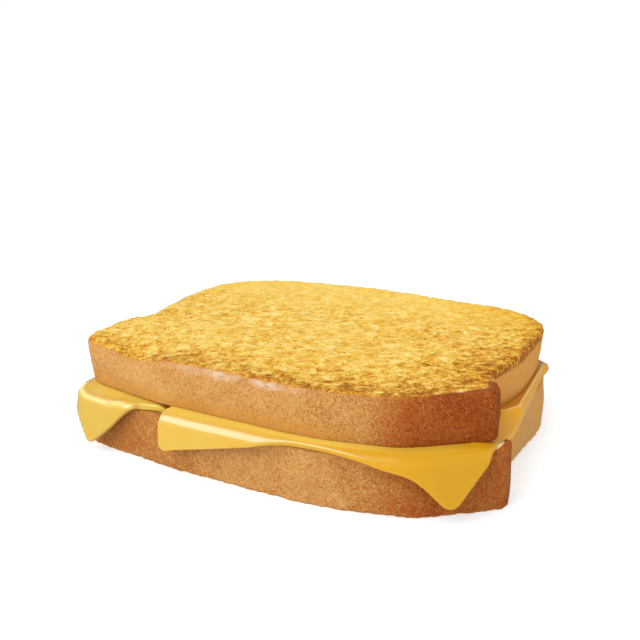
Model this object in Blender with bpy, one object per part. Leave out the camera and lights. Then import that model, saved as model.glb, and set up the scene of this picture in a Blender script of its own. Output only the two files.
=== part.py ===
"""Grilled cheese sandwich: two toasted loaf slices with two draped squares of cheese between them.

Metres, +Z up. The loaf's crown faces -Y and its base +Y. The lower slice lies on its toasted face at
z = 0, and the origin is under the middle of the whole sandwich.
"""

import math
from typing import NamedTuple

import bmesh
import bpy
import numpy as np

MM = 0.001

# Slice of the loaf, seen from above, measured from its own middle
BODY_WIDTH = 126.5 * MM
CROWN_WIDTH = 131.0 * MM
CROWN_FRONT = -53.0 * MM
BASE_BACK = 57.5 * MM

# The two slices
GAP = 0.3 * MM
LOWER_THICKNESS = 16.5 * MM
UPPER_THICKNESS = 13.0 * MM
UPPER_UNDERSIDE = 19.2 * MM
LOWER_SHIFT = (3.6 * MM, -2.6 * MM)
LOWER_TURN = math.radians(1.3)
SIDE_LEAN = 1.8 * MM
HALF_UP_LEAN_SHARE = 0.25
LOWER_BULGE = 0.3 * MM
TOASTED_RIM = 1.4 * MM
CRUMB_RIM = 1.5 * MM
TOAST_DIP = 0.5 * MM

# Hollow that the cheese presses into the lower slice: slight at the left rim, deeper beyond a slanted line
SETTLE_DEPTH = 1.0 * MM
PRESS_DEPTH = 2.7 * MM
PRESS_FADE = 9.0 * MM
PRESS_LEFT = -64.0 * MM
PRESS_DEEPER = (-41.0 * MM, -50.0 * MM)
PRESS_SLANT = 0.4
PRESS_RIGHT = 38.0 * MM
PRESS_BACK = 47.0 * MM
BED_GAP = 0.7 * MM

# Cheese squares and how they fold over the lower slice's rim
CHEESE_THICKNESS = 2.0 * MM
FOLD_RADIUS = 2.3 * MM
FOLD_START = -0.5 * MM
FRONT_DROOP = math.radians(80)
CORNER_DROOP = math.radians(72)
SIDE_DROOP = math.radians(42)

# How far the fold's outward direction points to the right, from 0 to 1, where each droop sets in
CORNER_DIRECTION = (0.1, 0.6)
SIDE_DIRECTION = (0.86, 0.98)

# Fineness of the outlines
ARC_STEP = 4.6 * MM
STRAIGHT_STEP = 9 * MM
CHEESE_STEP = 5.8 * MM
FOLD_LINE_STEP = 1 * MM
LARGEST_TURN = math.radians(20)
RIM_POINTS = 4
HALVINGS = 14
BEND_RINGS = 4
HANG_RINGS = 3
NARROWEST_BAND = 4.0 * MM
LONGEST_BEND_SHARE = 0.6
FLAT_RINGS = (0.07, 0.2, 0.45)
CRUMB_RINGS = (0.07, 0.15, 0.25, 0.37, 0.52, 0.75)
TOAST_RINGS = (0.07,)


class Corner(NamedTuple):
    """One corner of an outline and the radius that rounds it."""

    x: float
    y: float
    radius: float
    notch: bool = False


def slice_corners():
    """Corners of a slice, anticlockwise from the crown's left front."""
    body = BODY_WIDTH / 2
    crown = CROWN_WIDTH / 2
    return [
        Corner(-crown, CROWN_FRONT + 11.5 * MM, 7 * MM),
        Corner(-30 * MM, CROWN_FRONT + 3.5 * MM, 60 * MM),
        Corner(20 * MM, CROWN_FRONT - 0.4 * MM, 80 * MM),
        Corner(45 * MM, CROWN_FRONT + 3.6 * MM, 18 * MM),
        Corner(crown + 1.5 * MM, CROWN_FRONT + 20 * MM, 4 * MM),
        Corner(body - 2.3 * MM, -22 * MM, 6 * MM, notch=True),
        Corner(body + 1.2 * MM, BASE_BACK - 10.8 * MM, 24 * MM),
        Corner(-2 * MM, BASE_BACK, 150 * MM),
        Corner(-body - 1.2 * MM, BASE_BACK - 3 * MM, 28 * MM),
        Corner(-body + 2.6 * MM, -8 * MM, 3 * MM, notch=True),
        Corner(-crown, -17 * MM, 6 * MM),
    ]


def lower_cheese_corners():
    """Corners of the lower cheese laid flat: its front left corner hangs far out."""
    return [
        Corner(-59.2 * MM, -61.8 * MM, 1.8 * MM),
        Corner(-38 * MM, -50.4 * MM, 14 * MM),
        Corner(27 * MM, -42 * MM, 3 * MM),
        Corner(29 * MM, 42 * MM, 3 * MM),
        Corner(-57 * MM, 40 * MM, 3 * MM),
        Corner(-61 * MM, -18 * MM, 30 * MM),
        Corner(-70 * MM, -38 * MM, 9 * MM),
    ]


def upper_cheese_corners():
    """Corners of the upper cheese laid flat: both its front corners hang down the crust."""
    return [
        Corner(-27.4 * MM, -63.2 * MM, 3.4 * MM),
        Corner(14 * MM, -56.0 * MM, 70 * MM),
        Corner(50 * MM, -55.4 * MM, 20 * MM),
        Corner(64.8 * MM, -57 * MM, 3.2 * MM),
        Corner(67 * MM, -33 * MM, 20 * MM),
        Corner(66.8 * MM, 0 * MM, 40 * MM),
        Corner(65.4 * MM, 36.4 * MM, 1.6 * MM),
        Corner(-24 * MM, 32 * MM, 3 * MM),
    ]


def rounded_outline(corners, arc_step, straight_step):
    """Closed outline with each corner rounded, as an array of points."""
    centres = np.array([(corner.x, corner.y) for corner in corners])
    points = []
    for index, corner in enumerate(corners):
        here = centres[index]
        back = centres[index - 1] - here
        ahead = centres[(index + 1) % len(corners)] - here
        back /= np.linalg.norm(back)
        ahead /= np.linalg.norm(ahead)
        half_angle = math.acos(np.clip(back @ ahead, -1, 1)) / 2
        inward = (back + ahead) / np.linalg.norm(back + ahead)
        centre = here + inward * corner.radius / math.sin(half_angle)
        first = here + back * corner.radius / math.tan(half_angle) - centre
        turn = math.pi - 2 * half_angle
        side = 1 if back[1] * ahead[0] - back[0] * ahead[1] > 0 else -1
        steps = max(2, round(corner.radius * turn / arc_step), math.ceil(turn / LARGEST_TURN))
        for step in range(steps + 1):
            angle = side * turn * step / steps
            cosine = math.cos(angle)
            sine = math.sin(angle)
            points.append(centre + (cosine * first[0] - sine * first[1],
                                    sine * first[0] + cosine * first[1]))
    return fill_straights(np.array(points), straight_step)


def fill_straights(points, step):
    """The same closed outline with further points along its longer straights."""
    filled = []
    for here, there in zip(points, np.roll(points, -1, axis=0)):
        pieces = max(1, round(np.linalg.norm(there - here) / step))
        filled.extend(here + (there - here) * part / pieces for part in range(pieces))
    return np.array(filled)


def outward_normals(points):
    """Unit normals of an anticlockwise closed outline, one at each point."""
    along = np.roll(points, -1, axis=0) - np.roll(points, 1, axis=0)
    along /= np.linalg.norm(along, axis=1)[:, None]
    return np.column_stack([along[:, 1], -along[:, 0]])


def placed(points, shift, turn):
    """Points turned about the slice's middle and shifted."""
    cosine = math.cos(turn)
    sine = math.sin(turn)
    return points @ np.array([[cosine, sine], [-sine, cosine]]) + shift


def slice_outline(lower):
    """Outline of the upper slice, or of the lower one, which lies a little askew."""
    points = rounded_outline(slice_corners(), ARC_STEP, STRAIGHT_STEP)
    if not lower:
        return points
    return placed(points, LOWER_SHIFT, LOWER_TURN)


def fold_line():
    """Line along the lower slice's rim over which the cheese folds, without the two side notches."""
    corners = [corner for corner in slice_corners() if not corner.notch]
    return placed(rounded_outline(corners, FOLD_LINE_STEP, FOLD_LINE_STEP), LOWER_SHIFT, LOWER_TURN)


def ease(value, low, high):
    """Smooth step from 0 at low to 1 at high."""
    ratio = np.clip((value - low) / (high - low), 0, 1)
    return ratio * ratio * (3 - 2 * ratio)


def crumb_height(points):
    """Height of the lower slice's upper face: pressed in under the lower cheese."""
    x = points[:, 0]
    y = points[:, 1]
    depth = SETTLE_DEPTH * ease(x, PRESS_LEFT, PRESS_LEFT + PRESS_FADE)
    slanted = x - PRESS_DEEPER[0] + PRESS_SLANT * (y - PRESS_DEEPER[1])
    depth += (PRESS_DEPTH - SETTLE_DEPTH) * ease(slanted, 0, PRESS_FADE)
    depth *= 1 - ease(x, PRESS_RIGHT, PRESS_RIGHT + PRESS_FADE)
    depth *= 1 - ease(y, PRESS_BACK, PRESS_BACK + PRESS_FADE)
    return LOWER_THICKNESS - depth


def nearest_on(line, points):
    """Nearest point of a closed line, outward direction and signed distance outside, for each point."""
    start = line
    span = np.roll(line, -1, axis=0) - line
    offset = points[:, None, :] - start[None, :, :]
    ratio = np.clip((offset * span).sum(axis=2) / (span * span).sum(axis=1), 0, 1)
    foot = start + ratio[:, :, None] * span
    away = points[:, None, :] - foot
    reach = np.linalg.norm(away, axis=2)
    best = reach.argmin(axis=1)
    rows = np.arange(len(points))
    side = outward_normals(line)[best]
    outside = np.sign((away[rows, best] * side).sum(axis=1))
    distance = reach[rows, best] * outside
    direct = away[rows, best] / np.maximum(reach[rows, best], 1e-9)[:, None] * outside[:, None]
    outward = np.where((reach[rows, best] > 0.5 * MM)[:, None], direct, side)
    return foot[rows, best], outward, distance


def folded(plan, rest_height, line):
    """Under and upper faces of a sheet laid flat as plan, resting at rest_height and folding over line."""
    foot, outward, distance = nearest_on(line, plan)
    run = np.maximum(distance - FOLD_START, 0)
    bed = rest_height(np.where((run > 0)[:, None], foot + outward * FOLD_START, plan))
    at_side = ease(outward[:, 0], *SIDE_DIRECTION)
    at_corner = ease(outward[:, 0], *CORNER_DIRECTION)
    droop = FRONT_DROOP + (CORNER_DROOP - FRONT_DROOP) * at_corner
    droop += (SIDE_DROOP - droop) * at_side
    slope = np.minimum(run / FOLD_RADIUS, droop)
    straight = np.maximum(run - FOLD_RADIUS * droop, 0)
    out = FOLD_RADIUS * np.sin(slope) + straight * np.cos(droop)
    down = FOLD_RADIUS * (1 - np.cos(slope)) + straight * np.sin(droop)
    bent = foot + outward * (FOLD_START + out)[:, None]
    flat = np.where((run > 0)[:, None], bent, plan)
    under = np.column_stack([flat, bed - down])
    normal = np.column_stack([outward * np.sin(slope)[:, None], np.cos(slope)])
    return under, under + normal * CHEESE_THICKNESS


def length_to_fold(outline, middle, line):
    """Distance from each outline point towards the middle at which the fold starts, 0 if it never hangs."""
    near = np.zeros(len(outline))
    far = np.ones(len(outline))
    for _ in range(HALVINGS):
        halfway = (near + far) / 2
        distance = nearest_on(line, outline + (middle - outline) * halfway[:, None])[2]
        near = np.where(distance > FOLD_START, halfway, near)
        far = np.where(distance > FOLD_START, far, halfway)
    return near * np.linalg.norm(middle - outline, axis=1)


def sheet_rings(outline, line):
    """Rings of a flat sheet from its edge inwards, close together where the sheet bends over the fold."""
    middle = (outline.min(axis=0) + outline.max(axis=0)) / 2
    reach = np.linalg.norm(middle - outline, axis=1)
    band = np.maximum(length_to_fold(outline, middle, line), NARROWEST_BAND)
    bend = np.minimum(FOLD_RADIUS * FRONT_DROOP, band * LONGEST_BEND_SHARE)
    insets = [(band - bend) * share for share in np.linspace(0, 1, HANG_RINGS)]
    insets += [band - bend * (1 - share) for share in np.linspace(0, 1, BEND_RINGS)[1:]]
    insets += [band + (reach - band) * share for share in FLAT_RINGS]
    return [outline + (middle - outline) * (inset / reach)[:, None] for inset in insets], middle


def inner_rings(outline, fractions):
    """Copies of an outline drawn in towards its middle."""
    middle = (outline.min(axis=0) + outline.max(axis=0)) / 2
    return [outline + (middle - outline) * fraction for fraction in fractions], middle


def make_solid(name, rings, first_centre, last_centre, material):
    """Closed mesh that runs through rings of equal length, with a point closing each end."""
    mesh_data = bmesh.new()
    loops = [[mesh_data.verts.new(point) for point in ring] for ring in rings]
    count = len(loops[0])
    for low, high in zip(loops, loops[1:]):
        for index in range(count):
            after = (index + 1) % count
            mesh_data.faces.new((low[index], low[after], high[after], high[index]))
    start = mesh_data.verts.new(first_centre)
    end = mesh_data.verts.new(last_centre)
    for index in range(count):
        after = (index + 1) % count
        mesh_data.faces.new((loops[0][after], loops[0][index], start))
        mesh_data.faces.new((loops[-1][index], loops[-1][after], end))
    mesh = bpy.data.meshes.new(name)
    mesh_data.to_mesh(mesh)
    mesh_data.free()
    mesh.shade_smooth()
    mesh.set_sharp_from_angle(angle=math.radians(50))
    mesh.materials.append(material)
    solid = bpy.data.objects.new(name, mesh)
    bpy.context.scene.collection.objects.link(solid)
    return solid


def rim_arc(radius):
    """Inset and height along a quarter round, from the face to the wall."""
    return [(radius * (1 - math.sin(angle)), radius * (1 - math.cos(angle)))
            for angle in np.linspace(0, math.pi / 2, RIM_POINTS)]


def at_height(points, height):
    """Plan points lifted to a height, which is one number or one for each point."""
    return np.column_stack([points, np.broadcast_to(height, len(points))])


def build_lower_slice(material):
    """Lower slice: flat toasted face down, crumb face pressed in under the cheese."""
    outline = slice_outline(lower=True)
    normals = outward_normals(outline)
    rings = [at_height(outline - normals * inset, height) for inset, height in rim_arc(TOASTED_RIM)]
    rings.append(at_height(outline + normals * LOWER_BULGE, LOWER_THICKNESS / 2))
    for inset, height in reversed(rim_arc(CRUMB_RIM)):
        ring = outline - normals * inset
        rings.append(at_height(ring, crumb_height(ring) - height))
    inner, middle = inner_rings(ring, CRUMB_RINGS)
    rings += [at_height(points, crumb_height(points)) for points in inner]
    top = float(crumb_height(middle[None, :])[0])
    return make_solid("bread_bottom", rings, (*middle, 0), (*middle, top), material)


def build_upper_slice(material):
    """Upper slice: crumb face down, side leaning in to a rounded toasted rim, face slightly sunk."""
    outline = slice_outline(lower=False)
    normals = outward_normals(outline)
    top = UPPER_UNDERSIDE + UPPER_THICKNESS
    rings = [at_height(outline - normals * inset, UPPER_UNDERSIDE + height)
             for inset, height in rim_arc(CRUMB_RIM)]
    lean = normals * SIDE_LEAN * (1 - normals[:, 1:]) / 2
    rings.append(at_height(outline - lean * HALF_UP_LEAN_SHARE, UPPER_UNDERSIDE + UPPER_THICKNESS / 2))
    for inset, height in reversed(rim_arc(TOASTED_RIM)):
        ring = outline - lean - normals * inset
        rings.append(at_height(ring, top - height))
    inner, middle = inner_rings(ring, TOAST_RINGS)
    rings += [at_height(points, top - TOAST_DIP) for points in inner]
    return make_solid("bread_top", rings, (*middle, UPPER_UNDERSIDE), (*middle, top - TOAST_DIP), material)


def build_cheese(name, corners, rest_height, material):
    """Square of melted cheese that rests at rest_height and folds over the lower slice's rim."""
    outline = rounded_outline(corners, ARC_STEP, CHEESE_STEP)
    line = fold_line()
    flat_rings, middle = sheet_rings(outline, line)
    faces = [folded(plan, rest_height, line) for plan in flat_rings]
    rings = [under for under, upper in reversed(faces)] + [upper for under, upper in faces]
    under, upper = folded(middle[None, :], rest_height, line)
    return make_solid(name, rings, under[0], upper[0], material)


def on_lower_slice(points):
    """Height at which a sheet rests on the lower slice."""
    return crumb_height(points) + BED_GAP


def on_lower_cheese(points):
    """Height at which the upper cheese rests, level over the lower cheese and the rim beside it."""
    return np.full(len(points), UPPER_UNDERSIDE - GAP - CHEESE_THICKNESS)


def make_material(name, colour, roughness):
    """Plain material of one colour and roughness."""
    material = bpy.data.materials.new(name)
    material.use_nodes = True
    shader = material.node_tree.nodes["Principled BSDF"]
    shader.inputs["Base Color"].default_value = (*colour, 1)
    shader.inputs["Roughness"].default_value = roughness
    shader.inputs["Metallic"].default_value = 0
    return material


def remove_scene_objects():
    """Start from an empty scene."""
    for scene_object in list(bpy.data.objects):
        bpy.data.objects.remove(scene_object)


def stand_on_origin(solids):
    """Move every mesh so that the origin is under the middle of the whole sandwich."""
    points = np.array([vertex.co for solid in solids for vertex in solid.data.vertices])
    middle = (points.min(axis=0) + points.max(axis=0)) / 2
    for solid in solids:
        for vertex in solid.data.vertices:
            vertex.co.x -= middle[0]
            vertex.co.y -= middle[1]


def main():
    """Build the four pieces of the sandwich from the bottom up."""
    remove_scene_objects()
    solids = [
        build_lower_slice(make_material("lower_bread", (0.50, 0.22, 0.07), 0.75)),
        build_cheese("cheese_lower", lower_cheese_corners(), on_lower_slice,
                     make_material("lower_cheese", (0.90, 0.50, 0.04), 0.3)),
        build_cheese("cheese_upper", upper_cheese_corners(), on_lower_cheese,
                     make_material("upper_cheese", (0.92, 0.52, 0.04), 0.3)),
        build_upper_slice(make_material("upper_bread", (0.72, 0.40, 0.10), 0.65)),
    ]
    stand_on_origin(solids)


main()
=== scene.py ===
"""Looks of a grilled cheese sandwich: two toasted slices of loaf and two draped squares of cheese.

Metres, +Z up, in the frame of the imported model. The loaf's crown faces -Y and its base +Y.
"""

import itertools
import logging
import math
from dataclasses import dataclass, field
from enum import Enum
from typing import Any, Callable, Sequence

import bpy
import numpy as np
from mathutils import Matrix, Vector


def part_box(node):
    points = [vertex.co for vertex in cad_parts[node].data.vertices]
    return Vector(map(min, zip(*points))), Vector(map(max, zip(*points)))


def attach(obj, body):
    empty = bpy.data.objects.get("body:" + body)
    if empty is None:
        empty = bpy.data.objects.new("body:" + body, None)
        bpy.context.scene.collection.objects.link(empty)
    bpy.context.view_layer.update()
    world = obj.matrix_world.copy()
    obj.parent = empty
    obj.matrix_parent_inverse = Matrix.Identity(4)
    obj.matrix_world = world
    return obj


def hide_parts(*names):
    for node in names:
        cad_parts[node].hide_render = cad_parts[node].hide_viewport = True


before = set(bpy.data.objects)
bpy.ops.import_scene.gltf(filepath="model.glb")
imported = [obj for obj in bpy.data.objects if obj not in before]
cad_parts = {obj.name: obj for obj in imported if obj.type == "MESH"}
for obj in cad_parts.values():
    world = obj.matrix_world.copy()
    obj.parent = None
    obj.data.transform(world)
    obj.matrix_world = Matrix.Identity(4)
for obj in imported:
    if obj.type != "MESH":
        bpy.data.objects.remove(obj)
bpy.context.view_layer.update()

MM = 0.001
BODY = "root"
LOG = logging.getLogger("sandwich")

Points = np.ndarray
Colour = tuple[float, float, float]


# Shapes in plan ---------------------------------------------------------------------------------


@dataclass(frozen=True)
class Corner:
    """One corner of an outline in plan and the radius that rounds it."""

    x: float
    y: float
    radius: float
    notch: bool = False


def millimetres(*corners: tuple) -> tuple[Corner, ...]:
    """Corners given as x, y and radius in millimetres, with True after them for a notch."""
    return tuple(Corner(x * MM, y * MM, radius * MM, *rest) for x, y, radius, *rest in corners)


def rounded(corners: Sequence[Corner], step: float) -> Points:
    """Round each corner of a closed outline.

    Args:
        corners: the outline's corners, anticlockwise.
        step: distance between points on the rounded corners and the straights.

    Returns:
        The outline's points, one row each.
    """
    places = np.array([(corner.x, corner.y) for corner in corners])
    points: list[Points] = []
    for index, corner in enumerate(corners):
        here = places[index]
        back = places[index - 1] - here
        ahead = places[(index + 1) % len(corners)] - here
        back /= np.linalg.norm(back)
        ahead /= np.linalg.norm(ahead)
        half_angle = math.acos(np.clip(back @ ahead, -1, 1)) / 2
        inward = (back + ahead) / np.linalg.norm(back + ahead)
        centre = here + inward * corner.radius / math.sin(half_angle)
        first = here + back * corner.radius / math.tan(half_angle) - centre
        turn = math.pi - 2 * half_angle
        side = 1 if back[1] * ahead[0] - back[0] * ahead[1] > 0 else -1
        steps = max(4, round(corner.radius * turn / step))
        angles = side * turn * np.arange(steps + 1) / steps
        points += [centre + (np.cos(angle) * first[0] - np.sin(angle) * first[1],
                             np.sin(angle) * first[0] + np.cos(angle) * first[1]) for angle in angles]
    return np.array(points)


def along_curve(points: Points) -> Points:
    """Length along a closed outline at each point, with the whole length last."""
    steps = np.linalg.norm(np.roll(points, -1, axis=0) - points, axis=1)
    return np.concatenate([[0.0], np.cumsum(steps)])


def spaced(points: Points, lengths: Points) -> Points:
    """Points of a closed outline at given lengths along it."""
    total = along_curve(points)
    closed = np.vstack([points, points[:1]])
    lengths = np.mod(lengths, total[-1])
    return np.column_stack([np.interp(lengths, total, closed[:, axis]) for axis in (0, 1)])


def softened(values: Points, reach: int) -> Points:
    """A closed run of values averaged with the neighbours up to reach on each side."""
    weights = np.hanning(2 * reach + 3)[1:-1]
    total = sum(weight * np.roll(values, shift, axis=0)
                for weight, shift in zip(weights, range(-reach, reach + 1)))
    return total / weights.sum()


def outward(points: Points) -> Points:
    """Unit normals of an anticlockwise closed outline, one at each point."""
    along = np.roll(points, -1, axis=0) - np.roll(points, 1, axis=0)
    along /= np.linalg.norm(along, axis=1)[:, None]
    return np.column_stack([along[:, 1], -along[:, 0]])


def turned(points: Points, shift: Points, angle: float) -> Points:
    """Points turned about the middle and then shifted."""
    cosine = math.cos(angle)
    sine = math.sin(angle)
    return points @ np.array([[cosine, sine], [-sine, cosine]]) + shift


def ease(value: Points, low: float, high: float) -> Points:
    """Smooth step from 0 at low to 1 at high."""
    ratio = np.clip((value - low) / (high - low), 0, 1)
    return ratio * ratio * (3 - 2 * ratio)


# Unevenness -------------------------------------------------------------------------------------


def gradient_noise(places: Points, seed: int) -> Points:
    """Smooth repeatable noise.

    Args:
        places: points in space, one row each; a bump of the noise is about one unit across.
        seed: which noise.

    Returns:
        About -0.7 to 0.7 for each place.
    """
    maker = np.random.default_rng(seed)
    shuffle = maker.permutation(256)
    slopes = maker.normal(size=(256, 3))
    slopes /= np.linalg.norm(slopes, axis=1)[:, None]
    cell = np.floor(places).astype(int)
    part = places - cell
    fade = part ** 3 * (part * (part * 6 - 15) + 10)
    total = np.zeros(len(places))
    for corner in itertools.product((0, 1), repeat=3):
        index = (cell + corner) & 255
        pick = shuffle[(shuffle[(shuffle[index[:, 0]] + index[:, 1]) & 255] + index[:, 2]) & 255]
        slope = (slopes[pick] * (part - corner)).sum(axis=1)
        total += slope * np.prod(np.where(corner, fade, 1 - fade), axis=1)
    return total


@dataclass(frozen=True)
class Unevenness:
    """Repeatable unevenness whose bumps have one size, with finer ones over them."""

    size: float
    seed: int
    octaves: int = 1

    def at(self, places: Points) -> Points:
        """Unevenness at each place, about -1 to 1."""
        total = np.zeros(len(places))
        for octave in range(self.octaves):
            fineness = 2.0 ** octave
            total += gradient_noise(places * fineness / self.size, self.seed + octave) / fineness
        return total

    def ridges(self, places: Points) -> Points:
        """Wavy network of ridges: 1 along them, down to about 0 between them."""
        return np.clip(1 - np.abs(self.at(places)) / 0.45, 0, 1)


# Materials --------------------------------------------------------------------------------------


class NodeBench:
    """Workbench on which one material's nodes are laid out."""

    def __init__(self, name: str) -> None:
        """Start a material that holds one Principled shader."""
        self.material = bpy.data.materials.new(name)
        self.material.use_nodes = True
        self.tree = self.material.node_tree
        self.shader = self.tree.nodes["Principled BSDF"]
        self.places = self.node("ShaderNodeTexCoord").outputs["Object"]

    def node(self, kind: str, **settings: Any) -> bpy.types.Node:
        """New node with the given settings."""
        made = self.tree.nodes.new(kind)
        for name, value in settings.items():
            setattr(made, name, value)
        return made

    def join(self, source: Any, socket: bpy.types.NodeSocket) -> None:
        """Feed a socket from another node's output, or set it to a number or a colour."""
        if isinstance(source, bpy.types.NodeSocket):
            self.tree.links.new(source, socket)
        elif isinstance(source, tuple):
            socket.default_value = (*source, 1)
        else:
            socket.default_value = source

    def maths(self, operation: str, first: Any, second: Any) -> bpy.types.NodeSocket:
        """Result of a sum on two values."""
        made = self.node("ShaderNodeMath", operation=operation)
        self.join(first, made.inputs[0])
        self.join(second, made.inputs[1])
        return made.outputs[0]

    def total(self, *parts: tuple[Any, float]) -> bpy.types.NodeSocket:
        """Sum of several values, each times its own weight."""
        result = self.maths("MULTIPLY", *parts[0])
        for value, weight in parts[1:]:
            result = self.maths("ADD", result, self.maths("MULTIPLY", value, weight))
        return result

    def between(self, value: Any, low: float, high: float) -> bpy.types.NodeSocket:
        """Smooth step of a value: 0 at low and 1 at high."""
        made = self.node("ShaderNodeMapRange", interpolation_type="SMOOTHSTEP")
        self.join(value, made.inputs["Value"])
        self.join(low, made.inputs["From Min"])
        self.join(high, made.inputs["From Max"])
        return made.outputs["Result"]

    def noise(self, size: float, detail: float = 2.0, roughness: float = 0.5,
              distortion: float = 0.0, stretch: Colour | None = None,
              turn: float = 0.0) -> bpy.types.NodeSocket:
        """Noise about 0.5 whose bumps measure size.

        Args:
            size: width of a bump.
            detail: how many finer layers it carries.
            roughness: how strong the finer layers are.
            distortion: how much it is warped.
            stretch: how far it is drawn out along each axis.
            turn: angle by which the drawn-out noise is turned about the vertical.

        Returns:
            The noise's output.
        """
        made = self.node("ShaderNodeTexNoise")
        source = self.places
        if stretch:
            mapping = self.node("ShaderNodeMapping", vector_type="TEXTURE")
            self.join(self.places, mapping.inputs["Vector"])
            mapping.inputs["Scale"].default_value = stretch
            mapping.inputs["Rotation"].default_value = (0.0, 0.0, turn)
            source = mapping.outputs["Vector"]
        self.join(source, made.inputs["Vector"])
        self.join(1 / size, made.inputs["Scale"])
        self.join(detail, made.inputs["Detail"])
        self.join(roughness, made.inputs["Roughness"])
        self.join(distortion, made.inputs["Distortion"])
        return made.outputs[0]

    def lines(self, source: Any, width: float) -> bpy.types.NodeSocket:
        """Thin wavy lines: 1 where a noise crosses its middle value, 0 further off than width."""
        off = self.maths("ABSOLUTE", self.maths("SUBTRACT", source, 0.5), 0.0)
        return self.between(off, width, 0.0)

    def specks(self, size: float) -> bpy.types.NodeSocket:
        """Distance to the nearest of scattered points that lie size apart, 0 at each point."""
        made = self.node("ShaderNodeTexVoronoi")
        self.join(self.places, made.inputs["Vector"])
        self.join(1 / size, made.inputs["Scale"])
        return made.outputs["Distance"]

    def attribute(self, name: str) -> bpy.types.NodeSocket:
        """Value that the mesh carries at each point."""
        return self.node("ShaderNodeAttribute", attribute_name=name).outputs["Fac"]

    def blend(self, share: Any, first: Any, second: Any) -> bpy.types.NodeSocket:
        """Colour between two, all first at share 0 and all second at 1."""
        made = self.node("ShaderNodeMix", data_type="RGBA")
        self.join(share, made.inputs[0])
        self.join(first, made.inputs[6])
        self.join(second, made.inputs[7])
        return made.outputs[2]

    def ramp(self, value: Any, stops: Sequence[tuple[float, Colour]]) -> bpy.types.NodeSocket:
        """Colour read from a row of stops by a value."""
        made = self.node("ShaderNodeValToRGB")
        elements = made.color_ramp.elements
        while len(elements) < len(stops):
            elements.new(0.5)
        for element, (position, colour) in zip(elements, stops):
            element.position = position
            element.color = (*colour, 1)
        self.join(value, made.inputs["Fac"])
        return made.outputs["Color"]

    def bump(self, height: Any, depth: float, under: bpy.types.NodeSocket | None = None) -> bpy.types.NodeSocket:
        """Surface direction roughened by a height between 0 and 1 that stands for depth in metres."""
        made = self.node("ShaderNodeBump")
        self.join(depth, made.inputs["Distance"])
        self.join(height, made.inputs["Height"])
        if under is not None:
            self.join(under, made.inputs["Normal"])
        return made.outputs["Normal"]


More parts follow.
